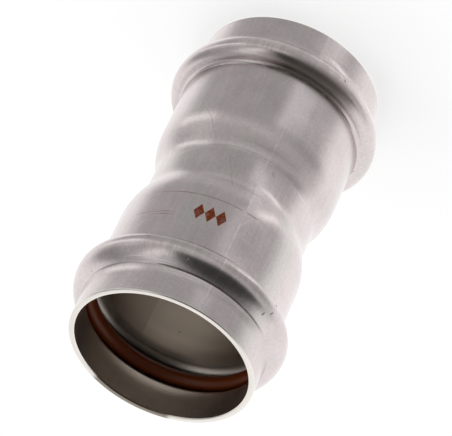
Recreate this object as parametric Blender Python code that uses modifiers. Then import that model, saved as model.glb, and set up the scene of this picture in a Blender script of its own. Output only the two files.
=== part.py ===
# Straight press fit coupling for two thin steel pipes.
# One formed steel tube makes the whole body: at each end a short guide collar, a rolled bead that
# holds a seal ring, a pipe socket and a shoulder, and between the shoulders a narrow waist.
# The coupling stands on its lower mouth, with its axis on +Z and its origin under the axis.

import math

import bpy

MM = 0.001

# Pipe that the coupling takes, and the steel of the body
PIPE_RADIUS = 21.0 * MM
WALL = 1.5 * MM
COLLAR_CLEARANCE = 0.30 * MM
SOCKET_CLEARANCE = 0.15 * MM
STOP_STEP = 2.35 * MM

# Lengths along the axis, counted from a mouth to the middle
BEAD_DEPTH = 12.9 * MM
SOCKET_DEPTH = 31.5 * MM
SHOULDER_LENGTH = 11.0 * MM
WAIST_LENGTH = 6.0 * MM

# Seal ring, a round cord that stands a little inside the pipe's outside so that it grips, and lies
# a little nearer to the mouth than the bead's crest
SEAL_SECTION = 3.7 * MM
SEAL_GRIP = 0.30 * MM
SEAL_LEAD = 0.75 * MM
SEAL_CLEARANCE = 0.40 * MM

# Bead: two bends meet at its crest, the wider one towards the mouth, with a tighter bend at each
# foot, and the collar flares a little before it
CREST_FRONT_BEND = 5.2 * MM
CREST_BACK_BEND = 2.75 * MM
FLARE_LENGTH = 2.3 * MM
FLARE_ANGLE = math.radians(14.0)
FRONT_FILLET = 0.7 * MM
BACK_FILLET = 1.0 * MM

# Shoulder: the bend at the socket is wider than the bend at the waist by this ratio
SHOULDER_BEND_RATIO = 1.9

# Rounding of the cut edges of both mouths
RIM_ROUNDING = 0.30 * MM

# Facets
RING_STEPS = 60
FLARE_STEPS = 2
FILLET_STEPS = 2
CREST_STEPS = 4
SHOULDER_BEND_STEPS = 3
WAIST_BEND_STEPS = 2
SEAL_SECTION_STEPS = 12
RIM_EDGE_ANGLE = math.radians(70.0)
SMOOTH_ANGLE = math.radians(35.0)
MERGE_DISTANCE = 0.00001

# Radii of the body's outside, each from what it has to hold
COLLAR_RADIUS = PIPE_RADIUS + COLLAR_CLEARANCE + WALL
SOCKET_RADIUS = PIPE_RADIUS + SOCKET_CLEARANCE + WALL
WAIST_RADIUS = PIPE_RADIUS - STOP_STEP + WALL
SEAL_CENTRE_RADIUS = PIPE_RADIUS - SEAL_GRIP + SEAL_SECTION / 2
CREST_RADIUS = SEAL_CENTRE_RADIUS + SEAL_SECTION / 2 + SEAL_CLEARANCE + WALL
SEAL_DEPTH = BEAD_DEPTH - SEAL_LEAD
OVERALL_LENGTH = 2 * (SOCKET_DEPTH + SHOULDER_LENGTH) + WAIST_LENGTH

OBJECT_NAME = "press_fit_coupling"


def clear_scene():
    for thing in list(bpy.data.objects):
        bpy.data.objects.remove(thing, do_unlink=True)


def make_collection(name):
    collection = bpy.data.collections.new(name)
    bpy.context.scene.collection.children.link(collection)
    return collection


def make_material(name, colour, metallic, roughness):
    material = bpy.data.materials.new(name)
    material.use_nodes = True
    shader = material.node_tree.nodes["Principled BSDF"]
    shader.inputs["Base Color"].default_value = (*colour, 1.0)
    shader.inputs["Metallic"].default_value = metallic
    shader.inputs["Roughness"].default_value = roughness
    material.diffuse_color = (*colour, 1.0)
    return material


def steel_material():
    return make_material("satin_stainless_steel", (0.62, 0.60, 0.60), 1.0, 0.28)


def seal_material():
    return make_material("brown_elastomer", (0.22, 0.065, 0.025), 0.0, 0.38)


def arc(centre, radius, start, end, steps):
    """Points (depth, radius) on a bend, from one angle to the other."""
    points = []
    for step in range(steps + 1):
        angle = start + (end - start) * step / steps
        depth = centre[0] + radius * math.cos(angle)
        height = centre[1] + radius * math.sin(angle)
        points.append((depth, height))
    return points


def foot_of_bead(crest_bend, fillet, height):
    """Where a bend at the bead's foot has its centre, and the slope where it meets the crest.

    Height is the radius at which the centre lies. The first value is its distance along the
    axis from the crest.
    """
    rise = height - (CREST_RADIUS - crest_bend)
    distance = math.sqrt((crest_bend + fillet) ** 2 - rise ** 2)
    return distance, math.atan2(distance, rise)


def bead_outline():
    """Outside of the bead, from the collar's flare over the crest to its foot on the socket."""
    quarter = math.pi / 2
    flare_bend = FLARE_LENGTH / math.sin(FLARE_ANGLE)
    flare_rise = flare_bend * (1 - math.cos(FLARE_ANGLE))
    front_height = COLLAR_RADIUS + flare_rise + FRONT_FILLET * math.cos(FLARE_ANGLE)
    back_height = SOCKET_RADIUS + BACK_FILLET
    front_distance, front_slope = foot_of_bead(CREST_FRONT_BEND, FRONT_FILLET, front_height)
    back_distance, back_slope = foot_of_bead(CREST_BACK_BEND, BACK_FILLET, back_height)

    front_foot = (BEAD_DEPTH - front_distance, front_height)
    back_foot = (BEAD_DEPTH + back_distance, back_height)
    flare_end = front_foot[0] + FRONT_FILLET * math.sin(FLARE_ANGLE)
    flare_centre = (flare_end - FLARE_LENGTH, COLLAR_RADIUS + flare_bend)
    front_centre = (BEAD_DEPTH, CREST_RADIUS - CREST_FRONT_BEND)
    back_centre = (BEAD_DEPTH, CREST_RADIUS - CREST_BACK_BEND)

    points = arc(flare_centre, flare_bend, -quarter, -quarter + FLARE_ANGLE, FLARE_STEPS)
    points += arc(
        front_foot, FRONT_FILLET, -quarter + FLARE_ANGLE, -quarter + front_slope, FILLET_STEPS
    )[1:]
    points += arc(front_centre, CREST_FRONT_BEND, quarter + front_slope, quarter, CREST_STEPS)[1:]
    points += arc(back_centre, CREST_BACK_BEND, quarter, quarter - back_slope, CREST_STEPS)[1:]
    points += arc(back_foot, BACK_FILLET, -quarter - back_slope, -quarter, FILLET_STEPS)[1:]
    return points


def shoulder_outline():
    """Outside of the shoulder: two bends that meet on a slope, from the socket to the waist."""
    quarter = math.pi / 2
    drop = SOCKET_RADIUS - WAIST_RADIUS
    turn = 2 * math.atan2(drop, SHOULDER_LENGTH)
    both_bends = SHOULDER_LENGTH / math.sin(turn)
    waist_bend = both_bends / (1 + SHOULDER_BEND_RATIO)
    socket_bend = both_bends - waist_bend
    socket_centre = (SOCKET_DEPTH, SOCKET_RADIUS - socket_bend)
    waist_centre = (SOCKET_DEPTH + SHOULDER_LENGTH, WAIST_RADIUS + waist_bend)
    upper = arc(socket_centre, socket_bend, quarter, quarter - turn, SHOULDER_BEND_STEPS)
    lower = arc(waist_centre, waist_bend, -quarter - turn, -quarter, WAIST_BEND_STEPS)
    return upper + lower[1:]


def body_profile():
    """Outside of the body as (radius, height) points, from the upper mouth down to the lower."""
    half = [(0.0, COLLAR_RADIUS)] + bead_outline() + shoulder_outline()
    upper_half = [(radius, OVERALL_LENGTH - depth) for depth, radius in half]
    lower_half = [(radius, depth) for depth, radius in reversed(half)]
    return upper_half + lower_half


def add_steel_body(collection, material):
    profile = body_profile()
    points = [(radius, 0.0, height) for radius, height in profile]
    lines = [(index, index + 1) for index in range(len(points) - 1)]
    mesh = bpy.data.meshes.new("coupling_body")
    mesh.from_pydata(points, lines, [])
    body = bpy.data.objects.new("coupling_body", mesh)
    collection.objects.link(body)
    body.data.materials.append(material)

    turning = body.modifiers.new("turn_profile", "SCREW")
    turning.axis = "Z"
    turning.angle = 2 * math.pi
    turning.steps = RING_STEPS
    turning.render_steps = RING_STEPS
    turning.use_merge_vertices = True
    turning.merge_threshold = MERGE_DISTANCE
    turning.use_smooth_shade = True

    shell = body.modifiers.new("wall", "SOLIDIFY")
    shell.thickness = WALL
    shell.offset = -1.0
    shell.use_even_offset = True
    shell.use_rim = True

    rounding = body.modifiers.new("rim_rounding", "BEVEL")
    rounding.width = RIM_ROUNDING
    rounding.segments = 2
    rounding.limit_method = "ANGLE"
    rounding.angle_limit = RIM_EDGE_ANGLE
    return body


def add_seal_ring(collection, material, name, height):
    bpy.ops.mesh.primitive_torus_add(
        major_radius=SEAL_CENTRE_RADIUS,
        minor_radius=SEAL_SECTION / 2,
        major_segments=RING_STEPS,
        minor_segments=SEAL_SECTION_STEPS,
        location=(0.0, 0.0, height),
    )
    ring = bpy.context.active_object
    ring.name = name
    ring.data.name = name
    for other in list(ring.users_collection):
        other.objects.unlink(ring)
    collection.objects.link(ring)
    ring.data.materials.append(material)
    ring.data.shade_smooth()
    ring.data.set_sharp_from_angle(angle=SMOOTH_ANGLE)
    return ring


def build_coupling():
    clear_scene()
    collection = make_collection(OBJECT_NAME)
    add_steel_body(collection, steel_material())
    seal_heights = {
        "upper_seal_ring": OVERALL_LENGTH - SEAL_DEPTH,
        "lower_seal_ring": SEAL_DEPTH,
    }
    rubber = seal_material()
    for name, height in seal_heights.items():
        add_seal_ring(collection, rubber, name, height)


build_coupling()
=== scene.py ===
import math
import bmesh
import bpy
import numpy as np
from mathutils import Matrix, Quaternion, Vector


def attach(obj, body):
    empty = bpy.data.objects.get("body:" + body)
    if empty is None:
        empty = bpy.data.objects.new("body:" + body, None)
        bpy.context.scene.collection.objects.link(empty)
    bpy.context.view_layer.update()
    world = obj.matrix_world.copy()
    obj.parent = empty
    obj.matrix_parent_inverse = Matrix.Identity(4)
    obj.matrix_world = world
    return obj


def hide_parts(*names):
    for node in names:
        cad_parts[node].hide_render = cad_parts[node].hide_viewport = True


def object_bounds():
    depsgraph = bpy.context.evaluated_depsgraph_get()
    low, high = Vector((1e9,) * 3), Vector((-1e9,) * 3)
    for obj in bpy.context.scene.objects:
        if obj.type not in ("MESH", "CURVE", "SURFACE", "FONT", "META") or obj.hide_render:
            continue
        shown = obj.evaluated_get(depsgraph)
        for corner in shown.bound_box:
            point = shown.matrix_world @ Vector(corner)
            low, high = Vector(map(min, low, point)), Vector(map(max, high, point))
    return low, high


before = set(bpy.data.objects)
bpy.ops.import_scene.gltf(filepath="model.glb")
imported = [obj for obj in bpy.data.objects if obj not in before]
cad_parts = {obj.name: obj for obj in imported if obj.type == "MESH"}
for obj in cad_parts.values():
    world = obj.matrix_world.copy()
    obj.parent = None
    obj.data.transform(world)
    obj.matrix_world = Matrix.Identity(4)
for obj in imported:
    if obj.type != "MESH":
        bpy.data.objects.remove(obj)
cad_low, cad_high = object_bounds()

# Steel body
# One length of seam welded stainless tube, pressed out into a collar, a bead and a socket at each end
# and left narrow at the waist. The ends are cut square and their edges broken. The finish is as
# formed: satin, with fine drawing lines, small pits on the beads and a ground weld along one side.
MM = 0.001
PIPE_RADIUS = 21.0 * MM
WALL = 1.5 * MM
COLLAR_CLEARANCE = 0.30 * MM
SOCKET_CLEARANCE = 0.15 * MM
STOP_STEP = 2.35 * MM
BEAD_DEPTH = 12.9 * MM
SOCKET_DEPTH = 31.5 * MM
SHOULDER_LENGTH = 11.0 * MM
SEAL_SECTION = 3.7 * MM
SEAL_GRIP = 0.30 * MM
SEAL_LEAD = 0.75 * MM
SEAL_CLEARANCE = 0.40 * MM
CREST_FRONT_BEND = 5.2 * MM
CREST_BACK_BEND = 2.75 * MM
FLARE_LENGTH = 2.3 * MM
FLARE_ANGLE = math.radians(14.0)
FRONT_FILLET = 0.7 * MM
BACK_FILLET = 1.0 * MM
SHOULDER_BEND_RATIO = 1.9
RIM_ROUNDING = 0.30 * MM
COLLAR_RADIUS = PIPE_RADIUS + COLLAR_CLEARANCE + WALL
SOCKET_RADIUS = PIPE_RADIUS + SOCKET_CLEARANCE + WALL
WAIST_RADIUS = PIPE_RADIUS - STOP_STEP + WALL
SEAL_CENTRE_RADIUS = PIPE_RADIUS - SEAL_GRIP + SEAL_SECTION / 2
CREST_RADIUS = SEAL_CENTRE_RADIUS + SEAL_SECTION / 2 + SEAL_CLEARANCE + WALL
SEAL_DEPTH = BEAD_DEPTH - SEAL_LEAD
LENGTH = cad_high.z - cad_low.z
QUARTER = math.pi / 2

# Fineness of the turned surface, and of the strip beside the weld
BEND_STEP = math.radians(9.0)
STRAIGHT_STEP = 5.0 * MM
RING_STEPS = 360
WELD_TURN = -8.7
WELD_HALF_WIDTH = 0.35 * MM
WELD_RISE = 0.012 * MM
WELD_LEAST_RADIUS = WAIST_RADIUS - 0.4 * WALL
WELD_STEPS = (-1.5, -1.1, -0.7, -0.35, 0.0, 0.35, 0.7, 1.1, 1.5)
WELD_STEP_GAP = 0.25


def bend(centre, radius, start, end):
    """Points (depth, radius) on a bend."""
    steps = max(2, math.ceil(abs(end - start) / BEND_STEP))
    angles = [start + (end - start) * step / steps for step in range(steps + 1)]
    return [(centre[0] + radius * math.cos(a), centre[1] + radius * math.sin(a)) for a in angles]


def with_straights(points):
    """The same points, with more of them along each long straight."""
    filled = [points[0]]
    for start, end in zip(points, points[1:]):
        parts = max(1, round(math.dist(start, end) / STRAIGHT_STEP))
        for part in range(1, parts + 1):
            share = part / parts
            filled.append((
                start[0] + (end[0] - start[0]) * share,
                start[1] + (end[1] - start[1]) * share,
            ))
    return filled


def foot_of_bead(crest_bend, fillet, height):
    """Distance from the crest to the middle of the bend at a bead's foot, and the slope there."""
    rise = height - (CREST_RADIUS - crest_bend)
    distance = math.sqrt((crest_bend + fillet) ** 2 - rise ** 2)
    return distance, math.atan2(distance, rise)


def half_wall(inset):
    """(depth, radius) from a mouth to the middle, on a line at a distance in from the outside."""
    flare_bend = FLARE_LENGTH / math.sin(FLARE_ANGLE)
    flare_rise = flare_bend * (1 - math.cos(FLARE_ANGLE))
    front_height = COLLAR_RADIUS + flare_rise + FRONT_FILLET * math.cos(FLARE_ANGLE)
    back_height = SOCKET_RADIUS + BACK_FILLET
    front_distance, front_slope = foot_of_bead(CREST_FRONT_BEND, FRONT_FILLET, front_height)
    back_distance, back_slope = foot_of_bead(CREST_BACK_BEND, BACK_FILLET, back_height)
    front_foot = (BEAD_DEPTH - front_distance, front_height)
    back_foot = (BEAD_DEPTH + back_distance, back_height)
    flare_end = front_foot[0] + FRONT_FILLET * math.sin(FLARE_ANGLE)
    flare = (flare_end - FLARE_LENGTH, COLLAR_RADIUS + flare_bend)
    crest_front = (BEAD_DEPTH, CREST_RADIUS - CREST_FRONT_BEND)
    crest_back = (BEAD_DEPTH, CREST_RADIUS - CREST_BACK_BEND)

    turn = 2 * math.atan2(SOCKET_RADIUS - WAIST_RADIUS, SHOULDER_LENGTH)
    both_bends = SHOULDER_LENGTH / math.sin(turn)
    waist_bend = both_bends / (1 + SHOULDER_BEND_RATIO)
    socket_bend = both_bends - waist_bend
    shoulder = (SOCKET_DEPTH, SOCKET_RADIUS - socket_bend)
    waist = (SOCKET_DEPTH + SHOULDER_LENGTH, WAIST_RADIUS + waist_bend)

    points = [(RIM_ROUNDING, COLLAR_RADIUS - inset)]
    points += bend(flare, flare_bend + inset, -QUARTER, FLARE_ANGLE - QUARTER)
    points += bend(front_foot, FRONT_FILLET + inset, FLARE_ANGLE - QUARTER, front_slope - QUARTER)[1:]
    points += bend(crest_front, CREST_FRONT_BEND - inset, QUARTER + front_slope, QUARTER)[1:]
    points += bend(crest_back, CREST_BACK_BEND - inset, QUARTER, QUARTER - back_slope)[1:]
    points += bend(back_foot, BACK_FILLET + inset, -QUARTER - back_slope, -QUARTER)[1:]
    points += bend(shoulder, socket_bend - inset, QUARTER, QUARTER - turn)
    points += bend(waist, waist_bend + inset, -QUARTER - turn, -QUARTER)[1:]
    points.append((LENGTH / 2, WAIST_RADIUS - inset))
    return with_straights(points)


def half_section():
    """One end of the wall: along the inside to the mouth, round its rim, and back outside.

    The second value counts the points on the inside.
    """
    bore = COLLAR_RADIUS - WALL
    inner_edge = bend((RIM_ROUNDING, bore + RIM_ROUNDING), RIM_ROUNDING, -QUARTER, -2 * QUARTER)
    outer_edge = bend((RIM_ROUNDING, COLLAR_RADIUS - RIM_ROUNDING), RIM_ROUNDING, 2 * QUARTER, QUARTER)
    inside = list(reversed(half_wall(WALL)))
    outside = half_wall(0.0)
    return inside + inner_edge[1:] + outer_edge[:-1] + outside, len(inside)


def ring_angles():
    """Turns round the axis, in radians, closer together at the weld."""
    even = [360.0 * step / RING_STEPS for step in range(RING_STEPS)]
    close = [(WELD_TURN + offset) % 360.0 for offset in WELD_STEPS]
    kept = [turn for turn in even if min(abs(turn - near) for near in close) > WELD_STEP_GAP]
    return np.radians(np.array(sorted(kept + close)))


def turned_mesh(name, loop, angles, lift):
    """A closed ring: the loop of (height, radius) points, turned round the axis."""
    heights = np.array([point[0] for point in loop])
    radii = np.array([point[1] for point in loop])
    turns = angles[:, None]
    radius = radii[None, :] + lift(turns, heights[None, :], radii[None, :])
    x = radius * np.sin(turns)
    y = -radius * np.cos(turns)
    z = np.broadcast_to(heights[None, :], x.shape)
    vertices = np.stack([x, y, z], axis=-1).reshape(-1, 3)
    rows, columns = len(angles), len(loop)
    faces = []
    for row in range(rows):
        after = (row + 1) % rows
        for column in range(columns):
            beside = (column + 1) % columns
            faces.append((
                row * columns + column,
                row * columns + beside,
                after * columns + beside,
                after * columns + column,
            ))
    mesh = bpy.data.meshes.new(name)
    mesh.from_pydata(vertices.tolist(), [], faces)
    form = bmesh.new()
    form.from_mesh(mesh)
    bmesh.ops.recalc_face_normals(form, faces=form.faces)
    form.to_mesh(mesh)
    form.free()
    mesh.shade_smooth()
    piece = bpy.data.objects.new(name, mesh)
    bpy.context.scene.collection.objects.link(piece)
    return piece


def weld_lift(turns, heights, radii):
    """Rise of the ground weld, a low ridge that all of the wall follows but the waist's inside."""
    across = (turns - math.radians(WELD_TURN % 360.0)) * radii
    ridge = WELD_RISE * np.exp(-((across / WELD_HALF_WIDTH) ** 2))
    return np.where(radii > WELD_LEAST_RADIUS, ridge, 0.0)


section, inside_count = half_section()
upper_part = [(LENGTH - depth, radius) for depth, radius in section]
lower_part = [(depth, radius) for depth, radius in reversed(section)]
body_loop = upper_part + lower_part[1:-1]
body_angles = ring_angles()
steel_body = turned_mesh("steel_body", body_loop, body_angles, weld_lift)
inward = np.zeros(len(body_loop))
inward[:inside_count] = 1.0
inward[len(body_loop) - inside_count + 1:] = 1.0
inward_mark = steel_body.data.attributes.new("inward", "FLOAT", "POINT")
inward_mark.data.foreach_set("value", np.tile(inward, len(body_angles)))


def new_node(tree, kind, **settings):
    node = tree.nodes.new(kind)
    for name, value in settings.items():
        setattr(node, name, value)
    return node


def feed(tree, socket, value):
    """Puts a number, a colour or another node's output into a socket."""
    if isinstance(value, bpy.types.NodeSocket):
        tree.links.new(value, socket)
    elif value is not None:
        socket.default_value = value


def calc(tree, operation, first, second=None, clamp=False):
    node = new_node(tree, "ShaderNodeMath", operation=operation, use_clamp=clamp)
    feed(tree, node.inputs[0], first)
    feed(tree, node.inputs[1], second)
    return node.outputs[0]


def times(tree, *factors):
    """The product of several values."""
    product = factors[0]
    for factor in factors[1:]:
        product = calc(tree, "MULTIPLY", product, factor)
    return product


def weighted(tree, start, *parts):
    """A start value plus the products of several pairs."""
    total = start
    for value, weight in parts:
        total = calc(tree, "ADD", total, calc(tree, "MULTIPLY", value, weight))
    return total


def mix_colour(tree, share, first, second, blend_type="MIX"):
    node = new_node(tree, "ShaderNodeMix", data_type="RGBA", blend_type=blend_type)
    feed(tree, node.inputs[0], share)
    feed(tree, node.inputs[6], first)
    feed(tree, node.inputs[7], second)
    return node.outputs[2]


def blend(tree, share, first, second):
    """A number between two others."""
    node = new_node(tree, "ShaderNodeMix", data_type="FLOAT")
    feed(tree, node.inputs[0], share)
    feed(tree, node.inputs[2], first)
    feed(tree, node.inputs[3], second)
    return node.outputs[0]


def step_up(tree, value, low, high):
    """0 below low, 1 above high, smooth between."""
    node = new_node(tree, "ShaderNodeMapRange", interpolation_type="SMOOTHSTEP")
    feed(tree, node.inputs["Value"], value)
    feed(tree, node.inputs["From Min"], low)
    feed(tree, node.inputs["From Max"], high)
    return node.outputs[0]


def stretched(tree, position, along_x, along_y, along_z):
    """The position with its three parts scaled."""
    node = new_node(tree, "ShaderNodeVectorMath", operation="MULTIPLY")
    feed(tree, node.inputs[0], position)
    node.inputs[1].default_value = (along_x, along_y, along_z)
    return node.outputs[0]


def noise(tree, position, scale, detail=2.0, roughness=0.5):
    node = new_node(tree, "ShaderNodeTexNoise")
    feed(tree, node.inputs["Vector"], position)
    feed(tree, node.inputs["Scale"], scale)
    feed(tree, node.inputs["Detail"], detail)
    feed(tree, node.inputs["Roughness"], roughness)
    return node.outputs["Fac"]


def new_group(name, inputs, outputs):
    """A node group with named number sockets, and its input and output nodes."""
    group = bpy.data.node_groups.new(name, "ShaderNodeTree")
    for label, start in inputs.items():
        socket = group.interface.new_socket(label, in_out="INPUT", socket_type="NodeSocketFloat")
        socket.default_value = start
    for label in outputs:
        group.interface.new_socket(label, in_out="OUTPUT", socket_type="NodeSocketFloat")
    return group, new_node(group, "NodeGroupInput"), new_node(group, "NodeGroupOutput")


def use_group(tree, group, **values):
    node = new_node(tree, "ShaderNodeGroup", node_tree=group)
    for name, value in values.items():
        feed(tree, node.inputs[name.replace("_", " ")], value)
    return node


def turn_of(tree, x, y):
    """Turn round the axis in degrees, from the side that faces the camera."""
    return calc(tree, "DEGREES", calc(tree, "ARCTAN2", x, times(tree, y, -1.0)))


def make_round_axis_group():
    """Where a point is round the axis: turn in degrees, height in mm, and distance out in mm."""
    group, start, end = new_group("place_round_axis", {}, ("turn", "height", "radius"))
    place = new_node(group, "ShaderNodeTexCoord")
    split = new_node(group, "ShaderNodeSeparateXYZ")
    feed(group, split.inputs[0], place.outputs["Object"])
    x, y, z = split.outputs
    feed(group, end.inputs["turn"], turn_of(group, x, y))
    feed(group, end.inputs["height"], times(group, z, 1.0 / MM))
    square = weighted(group, times(group, x, x), (y, y))
    feed(group, end.inputs["radius"], times(group, calc(group, "SQRT", square), 1.0 / MM))
    return group


def make_band_group():
    """1 where a value lies between low and high, with soft edges."""
    starts = {"value": 0.0, "low": 0.0, "high": 1.0, "edge": 0.1}
    group, start, end = new_group("soft_band", starts, ("mask",))
    value, low, high, edge = (start.outputs[name] for name in starts)
    rise = step_up(group, value, calc(group, "SUBTRACT", low, edge), calc(group, "ADD", low, edge))
    fall = step_up(group, value, calc(group, "SUBTRACT", high, edge), calc(group, "ADD", high, edge))
    feed(group, end.inputs["mask"], times(group, rise, calc(group, "SUBTRACT", 1.0, fall)))
    return group


round_axis = make_round_axis_group()
soft_band = make_band_group()

STEEL_COLOUR = (0.648, 0.582, 0.580, 1.0)
STEEL_DARK = (0.500, 0.445, 0.443, 1.0)
STEEL_GREEN = (0.545, 0.512, 0.495, 1.0)
# Bare steel of the light scratches and lines, also the painted highlight at the far crease
STEEL_BARE = (0.80, 0.75, 0.75, 1.0)
# Colour of the ground weld, and of the painted reflection beside it
STEEL_GLOW = (0.82, 0.755, 0.785, 1.0)
# Colour of the painted highlights on the beads
STEEL_ROSY = (0.82, 0.735, 0.715, 1.0)
STEEL_CUT = (0.78, 0.755, 0.69, 1.0)
STEEL_INSIDE = (0.57, 0.52, 0.46, 1.0)
# Colour of the painted shade inside
STEEL_INSIDE_DARK = (0.36, 0.33, 0.29, 1.0)
# Colour of the painted shade in the bead's hollow behind the seal
STEEL_HOLLOW = (0.15, 0.13, 0.11, 1.0)
# Dark scratches and the worn waist line, also the painted shade line at the far crease
SCRATCH_COLOUR = (0.30, 0.25, 0.24, 1.0)
# Colour of the painted shade in the creases at the beads' feet
CREASE_COLOUR = (0.070, 0.050, 0.040, 1.0)
# Dark brown: the painted shade on the far bead, and the dark part of the near rim's inner edge
STAIN_COLOUR = (0.16, 0.13, 0.095, 1.0)
STREAK_COLOUR = (0.42, 0.38, 0.32, 1.0)
SCRIBE_COLOUR = (0.20, 0.085, 0.070, 1.0)
PIT_COLOUR = (0.14, 0.12, 0.11, 1.0)
INK_COLOUR = (0.200, 0.034, 0.008, 1.0)
INK_LIGHT = (0.29, 0.088, 0.030, 1.0)

# Metal makes no use of the specular level, so the one that the shader has is the ink's
INK_SPECULAR = 0.15

# Noises in the steel: a factor on the height, where less than 1 draws the pattern out along the axis,
# then scale, detail and roughness
NOISES = {
    "mottle": (1.0, 170.0, 3.0, 0.5),
    "grain": (1.0, 1500.0, 2.0, 0.6),
    "drawn": (0.05, 1300.0, 3.0, 0.6),
    "broad": (0.12, 95.0, 2.0, 0.5),
    "wear": (1.0, 420.0, 3.0, 0.6),
    "streaks": (0.10, 620.0, 2.0, 0.6),
}

# Between which two values of its noise each effect comes up
FADE = {
    "green": (0.52, 0.70),
    "streaks": (0.46, 0.62),
    "weld": (0.35, 0.65),
    "crease": (0.30, 0.55),
    "scribe": (0.25, 0.50),
    "scratch": (0.25, 0.55),
    "waist edge": (0.42, 0.62),
    "thin ink": (0.36, 0.50),
    "light ink": (0.52, 0.66),
}

# How far a noise takes an effect, from its low end to its high end
RANGE = {
    "drawn shade": (0.92, 1.08),
    "grain shade": (0.88, 1.12),
    # How strongly the painted reflection beside the weld shows, over the grain noise
    "glow": (0.22, 0.50),
    "crease": (0.45, 1.0),
    # How strongly the painted shade on the far bead shows, over the broad noise
    "stain": (0.55, 0.85),
    # How strongly the painted highlights on the beads show, over the streak noise
    "rosy": (0.42, 0.16),
    "ink": (0.86, 1.0),
}

# How strongly each mark covers the steel
STRENGTH = {
    "weld": 0.50,
    "inside": 0.80,
    "inner shade": 0.50,
    "deep shade": 0.45,
    "hollow": 0.75,
    "speck": 0.80,
    "scattered pits": 0.70,
    "pits": 0.60,
    "crease": 0.88,
    "streaks": 0.26,
    "cut": 0.60,
    "rim stain": 0.85,
    "scribe": 0.85,
    "scratch": 0.34,
    "waist line": 0.55,
    "waist line cut": 0.50,
    "far crease edge": 0.45,
    "bare lines": 0.55,
}

# Roughness of plain steel, and what is added to it
ROUGHNESS = 0.19
ADDED_ROUGHNESS = {
    "mottle": 0.07,
    "drawn": 0.05,
    "inside": 0.08,
    "hollow": 0.12,
    "dull": 0.24,
    "marks": 0.25,
}

# Relief in mm, less than 0 where a mark is sunk
RELIEF = {
    "broad": 0.05,
    "drawn": 0.0030,
    "mottle": 0.02,
    "grain": 0.0025,
    "pits": -0.02,
    "cuts": -0.02,
}
SCRATCH_CUT_SHARE = 0.5

# Places on the steel: turns in degrees from the side that faces the camera, and depths in mm. Turns of
# places inside and on the rim run on past 180. A band is low, high and soft edge. An area is a band of
# turns and a band of depths. The glow beside the weld is a painted reflection, the light patches and the
# light line at the far crease are painted highlights, and the shades inside, on the far bead and in the
# creases are painted shade: they stand in for reflections and shade that the room below doesn't give
# there.
HALF_DEPTH = LENGTH / 2 / MM
RIM_DEPTH = 0.32
WELD_LIGHT = (WELD_TURN - 0.5, WELD_TURN + 0.5, 0.4)

# These depths count from the upper mouth
WELD_FADE_DEPTHS = (74.0, 79.0)
WELD_FADED = 0.35
# Painted reflection: bands of lighter steel beside the weld
WELD_GLOW = (
    ((-15.0, -3.0, 4.0), (36.5, 47.0, 2.5)),
    ((-19.0, -3.0, 4.0), (57.5, 74.0, 2.5)),
    ((-13.0, -4.0, 4.0), (1.0, 5.0, 2.5)),
)
# Painted highlights: pale patches on the beads
LIGHT_PATCHES = (
    ((14.0, 34.0, 5.0), (9.0, 12.2, 0.7)),
    ((8.0, 36.0, 5.0), (76.2, 79.2, 0.7)),
    ((-62.0, 30.0, 10.0), (79.6, 82.6, 0.7)),
)
SCRIBES = (
    ((-17.0, 46.0, 4.0), (31.21, 31.39, 0.06)),
    ((32.0, 42.0, 4.0), (24.01, 24.19, 0.06)),
    ((32.0, 56.0, 4.0), (24.81, 24.99, 0.06)),
)

# These depths count from the nearer mouth
INNER_SHADE_TURNS = (60.0, 162.6, 0.4)
INNER_SHADE_DEPTHS = (16.0, 19.0)
DEEP_SHADE = ((160.0, 214.0, 9.0), (23.0, 34.0, 1.5))
HOLLOW_DEPTHS = (13.0, 18.0, 1.0)
HOLLOW_DARK_TURNS = (136.0, 198.0, 10.0)
PITTED_DEPTHS = (7.0, 17.5, 0.8)
# Painted shade in the creases at the feet of the beads: its turns and depths
CREASE_TURNS = (-48.0, 26.0, 12.0)
FRONT_CREASE = (8.02, 8.24, 0.10)
BACK_CREASE = (16.10, 16.60, 0.16)
# Painted shade on the far bead, near its back crease
FAR_STAIN = ((-34.0, 16.0, 12.0), (13.7, 16.8, 1.3))
FAR_DULL = ((-32.0, 4.0, 8.0), (11.2, 16.6, 0.8))
STREAKED = ((-34.0, 24.0, 8.0), (7.6, 14.0, 0.6))
# Painted highlight and painted shade line just past the far bead's back crease
FAR_CREASE_LIGHT = ((-78.0, -34.0, 7.0), (16.45, 16.70, 0.10))
FAR_CREASE_EDGE = ((-78.0, -34.0, 7.0), (16.90, 17.05, 0.10))
# A darker brown part of the near rim's inner edge
RIM_STAIN_TURNS = (147.0, 200.0, 2.5)
RIM_STAIN_RADIUS = 22.60

# Worn line beside the waist: it bows round the body, less on the left side, and wanders with the wear
WAIST_LINE_TURNS = (-48.0, 57.0, 6.0)
WAIST_LINE_DEPTHS = (50.3, 50.5, 0.12)
WAIST_LINE_MIDDLE = 8.0
WAIST_LINE_LEFT = -0.6
WAIST_LINE_BOW = 0.0012
WAIST_LINE_WANDER = 0.8
WAIST_EDGE_OFFSET = 0.30

# Printed mark, as turns and depths in degrees and mm
MARK_TURNS = (2.6, 9.5, 16.4)
MARK_DEPTH = 26.3
MARK_HALF = (3.3, 2.35)
MARK_EDGE = (0.94, 1.06)

# Length of a degree round the outside, and where a stroke's soft edge begins and ends, as shares of
# half its width
MM_PER_DEGREE = 0.40
STROKE_EDGE = (0.4, 1.5)

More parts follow.
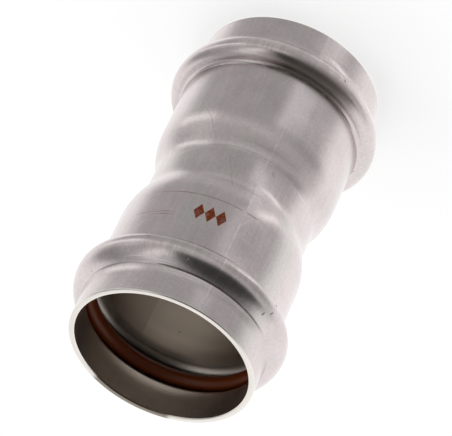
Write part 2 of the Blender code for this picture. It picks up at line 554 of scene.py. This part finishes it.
# Scratches, specks and knocks: turn and depth of both ends, and half the width in mm
DARK_SCRATCHES = (
    ((5.0, 37.5), (16.0, 47.0), 0.10),
    ((30.0, 51.0), (38.0, 57.0), 0.08),
    ((38.0, 57.0), (48.0, 61.5), 0.10),
    ((34.0, 70.0), (47.0, 73.0), 0.07),
    ((-18.0, 23.5), (-13.0, 26.5), 0.06),
    ((-17.0, 27.0), (-12.5, 30.6), 0.06),
    ((56.0, 84.5), (48.0, 81.5), 0.08),
    ((-40.0, 65.5), (-36.0, 64.6), 0.10),
    ((40.0, 24.8), (40.8, 21.5), 0.05),
    ((17.0, 45.2), (18.0, 46.2), 0.10),
    ((-16.6, 46.8), (-14.8, 47.4), 0.35),
)
LIGHT_SCRATCHES = (
    ((1.0, 74.0), (4.5, 70.6), 0.06),
    ((16.0, 71.5), (18.5, 74.6), 0.07),
    ((-14.0, 30.9), (-9.0, 27.0), 0.06),
    ((-21.0, 24.0), (-14.0, 24.3), 0.06),
    ((-22.0, 26.6), (-13.0, 26.9), 0.05),
    ((46.0, 22.6), (55.0, 20.0), 0.06),
    ((6.0, 5.8), (14.0, 7.0), 0.06),
)
INNER_SPECKS = (
    ((183.6, 23.9), (184.4, 24.1), 0.16),
)
KNOCKS = (
    ((-41.5, 9.6), (-41.5, 10.0), 0.18),
    ((-45.0, 11.0), (-45.6, 11.6), 0.20),
    ((-46.0, 13.8), (-46.3, 14.5), 0.22),
    ((3.7, 16.6), (4.0, 17.0), 0.24),
    ((32.0, 13.4), (34.0, 13.6), 0.14),
    ((-15.5, 12.4), (-15.0, 12.6), 0.12),
    ((-26.3, 79.3), (-26.0, 79.7), 0.22),
)

# Short lines round the body: their area, how fine they are, and the least noise that shows one
DASHES = (
    ((-40.0, 22.0, 5.0), (6.6, 8.0, 0.3), 5.0, 0.52),
    ((14.0, 46.0, 5.0), (8.1, 9.2, 0.3), 5.0, 0.50),
    ((-40.0, 44.0, 5.0), (0.2, 1.3, 0.3), 4.0, 0.56),
)
DASH_TURN_SCALE = 0.045
DASH_FADE = 0.10

# Pits: their scale, soft edge, and how much the beads and the wear favour them
PIT_SCALE = 480.0
PIT_EDGE = (0.06, 0.20)
PIT_CHOICE = 1.25
PITS_ON_BEAD = 0.30
PITS_IN_WEAR = 0.12


def band(tree, value, low, high, edge):
    return use_group(tree, soft_band, value=value, low=low, high=high, edge=edge).outputs["mask"]


def area(tree, turn, depth, turns, depths):
    """1 in an area of the steel."""
    return times(tree, band(tree, turn, *turns), band(tree, depth, *depths))


def join_masks(tree, masks):
    """The greatest of several masks."""
    total = masks[0]
    for mask in masks[1:]:
        total = calc(tree, "MAXIMUM", total, mask)
    return total


def make_stroke_group():
    """1 on a straight stroke between two places on the outside, with soft edges."""
    labels = ("turn", "depth", "start turn", "start depth", "end turn", "end depth", "half width")
    group, start, end = new_group("stroke", {label: 0.0 for label in labels}, ("mask",))
    turn, depth, turn_a, depth_a, turn_b, depth_b, width = (start.outputs[label] for label in labels)
    across = times(group, calc(group, "SUBTRACT", turn, turn_a), MM_PER_DEGREE)
    down = calc(group, "SUBTRACT", depth, depth_a)
    run = times(group, calc(group, "SUBTRACT", turn_b, turn_a), MM_PER_DEGREE)
    fall = calc(group, "SUBTRACT", depth_b, depth_a)
    along = weighted(group, times(group, across, run), (down, fall))
    square = weighted(group, times(group, run, run), (fall, fall))
    share = calc(group, "DIVIDE", along, square, clamp=True)
    off_across = calc(group, "SUBTRACT", across, times(group, share, run))
    off_down = calc(group, "SUBTRACT", down, times(group, share, fall))
    off_square = weighted(group, times(group, off_across, off_across), (off_down, off_down))
    distance = calc(group, "SQRT", off_square)
    near, far = (times(group, width, edge) for edge in STROKE_EDGE)
    feed(group, end.inputs["mask"], calc(group, "SUBTRACT", 1.0, step_up(group, distance, near, far)))
    return group


stroke = make_stroke_group()


def stroke_mask(tree, turn, depth, strokes):
    """The strokes of a table of (turn, depth) ends and half widths."""
    masks = []
    for (turn_a, depth_a), (turn_b, depth_b), width in strokes:
        masks.append(use_group(
            tree, stroke, turn=turn, depth=depth, start_turn=turn_a, start_depth=depth_a,
            end_turn=turn_b, end_depth=depth_b, half_width=width,
        ).outputs["mask"])
    return join_masks(tree, masks)


def waist_line_mask(tree, at, shift):
    """A worn line that the forming tool left beside the waist, bowed round the body."""
    off = calc(tree, "SUBTRACT", at["turn"], WAIST_LINE_MIDDLE)
    off = calc(tree, "MAXIMUM", off, times(tree, off, WAIST_LINE_LEFT))
    level = weighted(tree, calc(tree, "ADD", at["depth"], shift), (times(tree, off, off), WAIST_LINE_BOW))
    return area(tree, at["turn"], level, WAIST_LINE_TURNS, WAIST_LINE_DEPTHS)


def dash_mask(tree, at, turns, depths, fineness, least):
    """Short fine lines round the body, in one area."""
    place = new_node(tree, "ShaderNodeCombineXYZ")
    feed(tree, place.inputs[0], times(tree, at["turn"], DASH_TURN_SCALE))
    feed(tree, place.inputs[1], times(tree, at["depth"], fineness))
    lines = step_up(tree, noise(tree, place.outputs[0], 1.0, 2.0, 0.6), least, least + DASH_FADE)
    return times(tree, lines, area(tree, at["turn"], at["depth"], turns, depths))


def ink_mask(tree, at):
    """A printed mark that says nothing: three lozenges in a row."""
    down = calc(tree, "ABSOLUTE", calc(tree, "SUBTRACT", at["depth"], MARK_DEPTH))
    down = calc(tree, "DIVIDE", down, MARK_HALF[1])
    lozenges = []
    for centre in MARK_TURNS:
        across = calc(tree, "ABSOLUTE", calc(tree, "SUBTRACT", at["turn"], centre))
        spread = calc(tree, "ADD", calc(tree, "DIVIDE", across, MARK_HALF[0]), down)
        lozenges.append(calc(tree, "SUBTRACT", 1.0, step_up(tree, spread, *MARK_EDGE)))
    return join_masks(tree, lozenges)


def pit_mask(tree, at):
    """Small dark pits, more of them on the beads and where the steel is worn."""
    on_bead = band(tree, at["mouth depth"], *PITTED_DEPTHS)
    where = weighted(tree, times(tree, on_bead, PITS_ON_BEAD), (at["wear"], PITS_IN_WEAR))
    cells = new_node(tree, "ShaderNodeTexVoronoi")
    feed(tree, cells.inputs["Vector"], at["place"])
    cells.inputs["Scale"].default_value = PIT_SCALE
    spot = calc(tree, "SUBTRACT", 1.0, step_up(tree, cells.outputs["Distance"], *PIT_EDGE))
    split = new_node(tree, "ShaderNodeSeparateColor")
    feed(tree, split.inputs[0], cells.outputs["Color"])
    chosen = calc(tree, "GREATER_THAN", calc(tree, "ADD", split.outputs[0], where), PIT_CHOICE)
    return times(tree, spot, chosen)


def steel_places(tree):
    """Where a point lies on the steel, and the noises there."""
    around = use_group(tree, round_axis)
    turn, height = around.outputs["turn"], around.outputs["height"]
    inside = new_node(tree, "ShaderNodeAttribute", attribute_name="inward").outputs["Fac"]
    at = {"turn": turn, "radius": around.outputs["radius"], "inside": inside}
    at["place"] = new_node(tree, "ShaderNodeTexCoord").outputs["Object"]
    at["whole turn"] = weighted(tree, turn, (calc(tree, "LESS_THAN", turn, 0.0), 360.0))
    at["depth"] = calc(tree, "SUBTRACT", LENGTH / MM, height)
    at["mouth depth"] = calc(tree, "MINIMUM", at["depth"], height)
    at["outside"] = calc(tree, "SUBTRACT", 1.0, inside)
    at["far end"] = times(tree, calc(tree, "GREATER_THAN", at["depth"], HALF_DEPTH), at["outside"])
    at["hollow"] = times(tree, inside, band(tree, at["mouth depth"], *HOLLOW_DEPTHS))
    for name, (squeeze, scale, detail, roughness) in NOISES.items():
        squeezed = stretched(tree, at["place"], 1.0, 1.0, squeeze)
        at[name] = noise(tree, squeezed, scale, detail, roughness)
    at["streaks"] = step_up(tree, at["streaks"], *FADE["streaks"])
    return at


def plain_steel(tree, at):
    """Mottled steel with a fine grain and drawing lines."""
    colour = mix_colour(tree, at["mottle"], STEEL_DARK, STEEL_COLOUR)
    colour = mix_colour(tree, step_up(tree, at["broad"], *FADE["green"]), colour, STEEL_GREEN)
    drawn = blend(tree, at["drawn"], *RANGE["drawn shade"])
    shade = times(tree, drawn, blend(tree, at["grain"], *RANGE["grain shade"]))
    grey = new_node(tree, "ShaderNodeCombineColor")
    for socket in grey.inputs[:3]:
        feed(tree, socket, shade)
    return mix_colour(tree, 1.0, colour, grey.outputs[0], "MULTIPLY")


def weld_light(tree, at, colour):
    """The ground weld, and a painted reflection in bands of lighter steel beside it."""
    weld = times(tree, band(tree, at["turn"], *WELD_LIGHT), step_up(tree, at["wear"], *FADE["weld"]))
    weld = times(tree, weld, blend(tree, step_up(tree, at["depth"], *WELD_FADE_DEPTHS), 1.0, WELD_FADED))
    # The glow is a painted reflection beside the weld
    glow = join_masks(tree, [area(tree, at["turn"], at["depth"], *glow_area) for glow_area in WELD_GLOW])
    glow = times(tree, glow, blend(tree, at["grain"], *RANGE["glow"]))
    light = calc(tree, "MAXIMUM", times(tree, weld, STRENGTH["weld"]), glow)
    return mix_colour(tree, times(tree, light, at["outside"]), colour, STEEL_GLOW)


def inner_tones(tree, at, colour):
    """Duller steel inside, painted shade in places inside, and one speck."""
    colour = mix_colour(tree, times(tree, at["inside"], STRENGTH["inside"]), colour, STEEL_INSIDE)
    # Painted shade in two places inside the socket
    shade = times(tree, band(tree, at["turn"], *INNER_SHADE_TURNS), at["inside"])
    shade = times(tree, shade, step_up(tree, at["mouth depth"], *INNER_SHADE_DEPTHS))
    shade = times(tree, shade, STRENGTH["inner shade"])
    colour = mix_colour(tree, shade, colour, STEEL_INSIDE_DARK)
    deep = times(tree, area(tree, at["whole turn"], at["mouth depth"], *DEEP_SHADE), at["inside"])
    colour = mix_colour(tree, times(tree, deep, STRENGTH["deep shade"]), colour, STEEL_INSIDE_DARK)
    # Painted shade in the hollow of the bead, behind the seal
    hollow = times(tree, at["hollow"], band(tree, at["whole turn"], *HOLLOW_DARK_TURNS))
    colour = mix_colour(tree, times(tree, hollow, STRENGTH["hollow"]), colour, STEEL_HOLLOW)
    speck = times(tree, stroke_mask(tree, at["whole turn"], at["depth"], INNER_SPECKS), at["inside"])
    return mix_colour(tree, times(tree, speck, STRENGTH["speck"]), colour, PIT_COLOUR)


def bead_marks(tree, at, colour):
    """Pits, knocks, streaks, painted shade in the creases and on the far bead, and painted
    highlight patches, most of them on the beads.
    """
    pits = times(tree, pit_mask(tree, at), at["outside"], STRENGTH["scattered pits"])
    knocks = times(tree, stroke_mask(tree, at["turn"], at["depth"], KNOCKS), at["outside"])
    at["pits"] = calc(tree, "MAXIMUM", pits, knocks)
    colour = mix_colour(tree, times(tree, at["pits"], STRENGTH["pits"]), colour, PIT_COLOUR)

    # Painted shade in the creases at the feet of the beads, broken up by the wear noise
    creases = [band(tree, at["mouth depth"], *depths) for depths in (FRONT_CREASE, BACK_CREASE)]
    worn = blend(tree, step_up(tree, at["wear"], *FADE["crease"]), *RANGE["crease"])
    crease_turns = band(tree, at["turn"], *CREASE_TURNS)
    at["creases"] = times(tree, join_masks(tree, creases), at["outside"], crease_turns, worn)
    colour = mix_colour(tree, times(tree, at["creases"], STRENGTH["crease"]), colour, CREASE_COLOUR)

    # Painted shade on the far bead, uneven with the broad noise
    stain = times(tree, area(tree, at["turn"], at["mouth depth"], *FAR_STAIN), at["far end"])
    stain = times(tree, stain, blend(tree, at["broad"], *RANGE["stain"]))
    colour = mix_colour(tree, stain, colour, STAIN_COLOUR)
    streaked = times(tree, area(tree, at["turn"], at["mouth depth"], *STREAKED), at["outside"])
    streaked = times(tree, streaked, at["streaks"], STRENGTH["streaks"])
    colour = mix_colour(tree, streaked, colour, STREAK_COLOUR)

    # Painted highlights on the beads, broken up by the streak noise
    patches = [area(tree, at["turn"], at["depth"], *patch_area) for patch_area in LIGHT_PATCHES]
    rosy = times(tree, join_masks(tree, patches), at["outside"])
    rosy = times(tree, rosy, blend(tree, at["streaks"], *RANGE["rosy"]))
    return mix_colour(tree, rosy, colour, STEEL_ROSY)


def rim_marks(tree, at, colour):
    """The pale cut ends, and the dark part of the near rim's inner edge."""
    cut = times(tree, calc(tree, "LESS_THAN", at["mouth depth"], RIM_DEPTH), STRENGTH["cut"])
    colour = mix_colour(tree, cut, colour, STEEL_CUT)
    # A darker brown part of the near rim's inner edge, over some of its turn
    near_rim = calc(tree, "LESS_THAN", at["depth"], RIM_DEPTH)
    inner_edge = calc(tree, "LESS_THAN", at["radius"], RIM_STAIN_RADIUS)
    rim = times(tree, near_rim, inner_edge, band(tree, at["whole turn"], *RIM_STAIN_TURNS))
    return mix_colour(tree, times(tree, rim, STRENGTH["rim stain"]), colour, STAIN_COLOUR)


def fine_lines(tree, at, colour):
    """Turned lines, dark and bare scratches, the worn line beside the waist, and a painted
    highlight and a painted shade line at the far bead's back crease.
    """
    scribes = join_masks(tree, [area(tree, at["turn"], at["depth"], *scribe) for scribe in SCRIBES])
    at["scribes"] = times(tree, scribes, step_up(tree, at["wear"], *FADE["scribe"]), at["outside"])
    colour = mix_colour(tree, times(tree, at["scribes"], STRENGTH["scribe"]), colour, SCRIBE_COLOUR)
    scratches = times(tree, stroke_mask(tree, at["turn"], at["depth"], DARK_SCRATCHES), at["outside"])
    at["scratches"] = times(tree, scratches, step_up(tree, at["wear"], *FADE["scratch"]))
    colour = mix_colour(tree, times(tree, at["scratches"], STRENGTH["scratch"]), colour, SCRATCH_COLOUR)

    shift = times(tree, at["wear"], WAIST_LINE_WANDER)
    at["waist line"] = times(tree, waist_line_mask(tree, at, shift), STRENGTH["waist line cut"])
    waist_line = times(tree, at["waist line"], STRENGTH["waist line"])
    colour = mix_colour(tree, waist_line, colour, SCRATCH_COLOUR)
    waist_edge = waist_line_mask(tree, at, calc(tree, "ADD", shift, WAIST_EDGE_OFFSET))
    # Painted highlight and painted shade line past the far bead's back crease
    far_light = area(tree, at["turn"], at["mouth depth"], *FAR_CREASE_LIGHT)
    far_edge = area(tree, at["turn"], at["mouth depth"], *FAR_CREASE_EDGE)
    far_edge = times(tree, far_edge, at["far end"], STRENGTH["far crease edge"])
    colour = mix_colour(tree, far_edge, colour, SCRATCH_COLOUR)

    lines = [stroke_mask(tree, at["turn"], at["depth"], LIGHT_SCRATCHES)]
    lines.append(times(tree, waist_edge, step_up(tree, at["mottle"], *FADE["waist edge"])))
    lines.append(times(tree, far_light, at["far end"]))
    lines.extend(dash_mask(tree, at, *dash) for dash in DASHES)
    bare = times(tree, join_masks(tree, lines), at["outside"], STRENGTH["bare lines"])
    return mix_colour(tree, bare, colour, STEEL_BARE)


def print_ink(tree, at, colour):
    """The printed mark, a little thin where the steel is worn."""
    thin = blend(tree, step_up(tree, at["wear"], *FADE["thin ink"]), *RANGE["ink"])
    at["ink"] = times(tree, ink_mask(tree, at), at["outside"], thin)
    light = step_up(tree, at["grain"], *FADE["light ink"])
    return mix_colour(tree, at["ink"], colour, mix_colour(tree, light, INK_COLOUR, INK_LIGHT))


def steel_roughness(tree, at):
    at["dull"] = times(tree, area(tree, at["turn"], at["mouth depth"], *FAR_DULL), at["far end"])
    at["marks"] = join_masks(tree, [at["ink"], at["pits"], at["creases"]])
    return weighted(tree, ROUGHNESS, *((at[name], more) for name, more in ADDED_ROUGHNESS.items()))


def steel_relief(tree, at):
    scratches = times(tree, at["scratches"], SCRATCH_CUT_SHARE)
    at["cuts"] = join_masks(tree, [at["scribes"], scratches, at["waist line"]])
    return weighted(tree, 0.0, *((at[name], height) for name, height in RELIEF.items()))


def make_steel():
    material = bpy.data.materials.new("satin_stainless_steel")
    material.use_nodes = True
    tree = material.node_tree
    shader = tree.nodes["Principled BSDF"]
    at = steel_places(tree)
    colour = plain_steel(tree, at)
    for lay_marks in (weld_light, inner_tones, bead_marks, rim_marks, fine_lines, print_ink):
        colour = lay_marks(tree, at, colour)
    feed(tree, shader.inputs["Base Color"], colour)
    feed(tree, shader.inputs["Metallic"], calc(tree, "SUBTRACT", 1.0, at["ink"]))
    feed(tree, shader.inputs["Roughness"], steel_roughness(tree, at))
    shader.inputs["Specular IOR Level"].default_value = INK_SPECULAR

    bump = new_node(tree, "ShaderNodeBump")
    bump.inputs["Distance"].default_value = MM
    bump.inputs["Strength"].default_value = 1.0
    feed(tree, bump.inputs["Height"], steel_relief(tree, at))
    feed(tree, shader.inputs["Normal"], bump.outputs["Normal"])
    return material


steel_body.data.materials.append(make_steel())
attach(steel_body, "root")
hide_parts("coupling_body")

# Seal rings
# Two moulded rings of rust brown elastomer, round in section. Each is pushed in through its mouth and
# snaps into the hollow of the bead, where it stands a little proud of the socket's bore.
SEAL_SECTION_STEPS = 48
SEAL_RING_STEPS = 240
SEAL_COLOUR = (0.088, 0.017, 0.0025, 1.0)
SEAL_ROUGHNESS = 0.33
SEAL_SPECULAR = 0.20


def ring_section(height):
    """(height, radius) points round the section of a seal ring."""
    turns = [2 * math.pi * step / SEAL_SECTION_STEPS for step in range(SEAL_SECTION_STEPS)]
    half = SEAL_SECTION / 2
    return [(height + half * math.cos(t), SEAL_CENTRE_RADIUS + half * math.sin(t)) for t in turns]


def no_lift(turns, heights, radii):
    return np.zeros((turns.shape[0], radii.shape[1]))


def make_elastomer():
    material = bpy.data.materials.new("brown_elastomer")
    material.use_nodes = True
    tree = material.node_tree
    shader = tree.nodes["Principled BSDF"]
    shader.inputs["Base Color"].default_value = SEAL_COLOUR
    shader.inputs["Roughness"].default_value = SEAL_ROUGHNESS
    shader.inputs["Specular IOR Level"].default_value = SEAL_SPECULAR
    return material


elastomer = make_elastomer()
seal_angles = np.linspace(0.0, 2 * math.pi, SEAL_RING_STEPS, endpoint=False)
seal_heights = {"upper_seal_ring": LENGTH - SEAL_DEPTH, "lower_seal_ring": SEAL_DEPTH}
for node_name, seal_height in seal_heights.items():
    seal = turned_mesh(node_name.replace("ring", "cord"), ring_section(seal_height), seal_angles, no_lift)
    seal.data.materials.append(elastomer)
    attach(seal, "root")
    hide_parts(node_name)

# Floor, light and camera
# The coupling stands on a plain pale floor under soft lamps. The camera sees floor and world as white,
# and the floor keeps the soft shadow. The steel and the seals mirror a plain studio room instead.
FLOOR_SIZE = 6.0
FLOOR_DROP = 0.2 * MM
bpy.ops.mesh.primitive_plane_add(size=FLOOR_SIZE, location=(0.0, 0.0, -FLOOR_DROP))
floor = bpy.context.active_object
floor.name = "floor"
floor.visible_glossy = False

FLOOR_COLOUR = (0.40, 0.40, 0.40, 1.0)
FLOOR_WHITE = 0.66


def make_floor_material():
    material = bpy.data.materials.new("pale_floor")
    material.use_nodes = True
    tree = material.node_tree
    tree.nodes.remove(tree.nodes["Principled BSDF"])
    output = tree.nodes["Material Output"]
    matte = new_node(tree, "ShaderNodeBsdfDiffuse")
    matte.inputs["Color"].default_value = FLOOR_COLOUR
    glow = new_node(tree, "ShaderNodeEmission")
    path = new_node(tree, "ShaderNodeLightPath")
    seen = calc(tree, "ADD", path.outputs["Is Camera Ray"], path.outputs["Is Transmission Ray"])
    feed(tree, glow.inputs["Strength"], times(tree, seen, FLOOR_WHITE))
    both = new_node(tree, "ShaderNodeAddShader")
    tree.links.new(matte.outputs[0], both.inputs[0])
    tree.links.new(glow.outputs[0], both.inputs[1])
    tree.links.new(both.outputs[0], output.inputs["Surface"])
    return material


floor.data.materials.append(make_floor_material())

# What the steel mirrors: plain studio surfaces, painted by direction. Turns go round the object from
# the camera's side and rises go up from level, in degrees. A patch leans when its rises shift with
# the turn. Later patches lie over earlier ones.
ROOM_LEVEL = 0.53
ROOM_PATCHES = (
    # name, turns, rises, lean, edges of turn and rise, brightness
    ("wall on one side", (-400.0, -77.0), (-63.0, 58.0), 0.0, (20.0, 8.0), 1.29),
    ("wall on the other side", (114.0, 400.0), (-62.0, 42.0), 0.0, (18.0, 8.0), 1.25),
    ("floor of the room", (-75.0, 125.0), (-95.0, -60.0), 0.0, (12.0, 7.0), 0.65),
    ("floor beside the wall", (-150.0, -72.0), (-95.0, -61.0), 0.0, (12.0, 6.0), 0.92),
    ("ceiling over a wall", (-132.0, -62.0), (56.0, 150.0), -0.54, (13.0, 8.0), 0.16),
    ("pale screen", (-64.0, -42.0), (-64.0, -28.0), 0.0, (9.0, 8.0), 0.63),
    ("low shelf", (-78.0, -8.0), (-12.0, 3.0), 0.0, (17.0, 5.0), 0.64),
    ("under the shelf", (-78.0, -26.0), (-31.0, -18.0), 0.0, (17.0, 5.0), 0.45),
    ("open ceiling", (-68.0, 31.0), (7.0, 150.0), 0.0, (9.0, 7.0), 0.050),
    ("end of the shelf", (-86.0, -58.0), (-8.0, 7.0), 0.0, (8.0, 5.0), 0.82),
    ("near sill", (-4.0, 36.0), (-5.0, 7.5), 0.0, (8.0, 5.0), 0.60),
    ("far sill", (62.0, 106.0), (-17.0, 1.0), 0.0, (7.0, 4.0), 0.76),
    ("roof", (-400.0, 400.0), (78.0, 150.0), 0.0, (5.0, 5.0), 0.24),
    ("long lamp", (36.0, 92.0), (32.0, 59.0), 0.93, (7.0, 7.0), 1.02),
    ("dim corner", (88.0, 115.0), (-8.0, 48.0), 0.0, (6.0, 8.0), 0.40),
    ("table edge", (-14.0, 62.0), (-21.0, -8.0), -0.10, (10.0, 5.0), 0.76),
    ("bright table edge", (63.0, 112.0), (-29.0, -20.0), -0.08, (7.0, 3.0), 1.55),
    ("pale table", (-84.0, -22.0), (-80.0, -55.0), 0.30, (8.0, 4.0), 0.88),
    ("bright strip on the table", (-80.0, -30.0), (-57.0, -50.0), 0.26, (8.0, 3.0), 1.90),
    ("near end of the strip", (-34.0, -4.0), (-46.0, -38.0), 0.45, (5.0, 4.0), 0.95),
    ("lens shade", (0.0, 38.0), (-41.0, -35.0), 0.0, (6.0, 3.0), 0.45),
)


def lay_patches(tree, base, patches, turn, rise):
    """Brightness of the room in one direction."""
    level = base
    for name, turns, rises, lean, edges, strength in patches:
        middle = (turns[0] + turns[1]) / 2
        shift = times(tree, calc(tree, "SUBTRACT", turn, middle), lean)
        straight_rise = calc(tree, "SUBTRACT", rise, shift)
        sideways = band(tree, turn, turns[0], turns[1], edges[0])
        upward = band(tree, straight_rise, rises[0], rises[1], edges[1])
        level = blend(tree, times(tree, sideways, upward), level, strength)
    return level


# Light of the world on what is matt
WORLD_LIGHT = 0.55


def make_world():
    world = bpy.data.worlds.new("soft_studio")
    bpy.context.scene.world = world
    world.use_nodes = True
    tree = world.node_tree
    background = tree.nodes["Background"]
    path = new_node(tree, "ShaderNodeLightPath")
    place = new_node(tree, "ShaderNodeTexCoord")
    split = new_node(tree, "ShaderNodeSeparateXYZ")
    feed(tree, split.inputs[0], place.outputs["Generated"])
    x, y, z = split.outputs
    rise = calc(tree, "DEGREES", calc(tree, "ARCSINE", z))
    mirrored = lay_patches(tree, ROOM_LEVEL, ROOM_PATCHES, turn_of(tree, x, y), rise)
    glossy = path.outputs["Is Glossy Ray"]
    rays = (path.outputs["Is Camera Ray"], path.outputs["Is Transmission Ray"])
    direct = calc(tree, "ADD", *rays, clamp=True)
    other = calc(tree, "SUBTRACT", 1.0, calc(tree, "ADD", direct, glossy, clamp=True))
    strength = weighted(tree, direct, (glossy, mirrored), (other, WORLD_LIGHT))
    feed(tree, background.inputs["Strength"], strength)
    background.inputs["Color"].default_value = (1.0, 1.0, 1.0, 1.0)


make_world()


def add_soft_lamp(name, place, aim, size, power):
    data = bpy.data.lights.new(name, "AREA")
    data.shape = "RECTANGLE"
    data.size, data.size_y = size
    data.energy = power
    lamp = bpy.data.objects.new(name, data)
    bpy.context.scene.collection.objects.link(lamp)
    lamp.location = place
    lamp.rotation_mode = "QUATERNION"
    lamp.rotation_quaternion = (Vector(aim) - Vector(place)).to_track_quat("-Z", "Y")
    lamp.visible_glossy = False
    return lamp


# Soft lamps: name, place, size in metres, and power in watts
MIDDLE = (0.0, 0.0, LENGTH / 2)
LAMPS = (
    ("overhead_softbox", (0.1, 0.35, 1.1), (0.9, 0.7), 4.0),
    ("right_softbox", (1.0, -0.25, 0.45), (0.5, 0.7), 2.5),
    ("left_softbox", (-1.0, 0.1, 0.5), (0.5, 0.7), 2.0),
)
for lamp_name, lamp_place, lamp_size, lamp_power in LAMPS:
    add_soft_lamp(lamp_name, lamp_place, MIDDLE, lamp_size, lamp_power)

# The camera's place, aim and roll were worked out from the outline and the mouth in the photograph
CAMERA_DISTANCE = 766.4 * MM
CAMERA_ELEVATION = math.radians(37.967)
CAMERA_AIM = (0.15 * MM, 0.35 * MM, 45.95 * MM)
CAMERA_ROLL = math.radians(-154.601)
SENSOR_WIDTH = 36.0
CAMERA_LENS = 256.40
CLIP_START = 0.01
CLIP_END = 20.0

camera_data = bpy.data.cameras.new("photo_camera")
camera = bpy.data.objects.new("photo_camera", camera_data)
bpy.context.scene.collection.objects.link(camera)
camera.location = (
    0.0,
    -CAMERA_DISTANCE * math.cos(CAMERA_ELEVATION),
    LENGTH / 2 + CAMERA_DISTANCE * math.sin(CAMERA_ELEVATION),
)
look = (Vector(CAMERA_AIM) - camera.location).to_track_quat("-Z", "Y")
camera.rotation_mode = "QUATERNION"
camera.rotation_quaternion = look @ Quaternion((0.0, 0.0, 1.0), CAMERA_ROLL)
camera_data.sensor_width = SENSOR_WIDTH
camera_data.lens = CAMERA_LENS
camera_data.clip_start = CLIP_START
camera_data.clip_end = CLIP_END
bpy.context.scene.camera = camera

bpy.context.scene.view_settings.view_transform = "Standard"
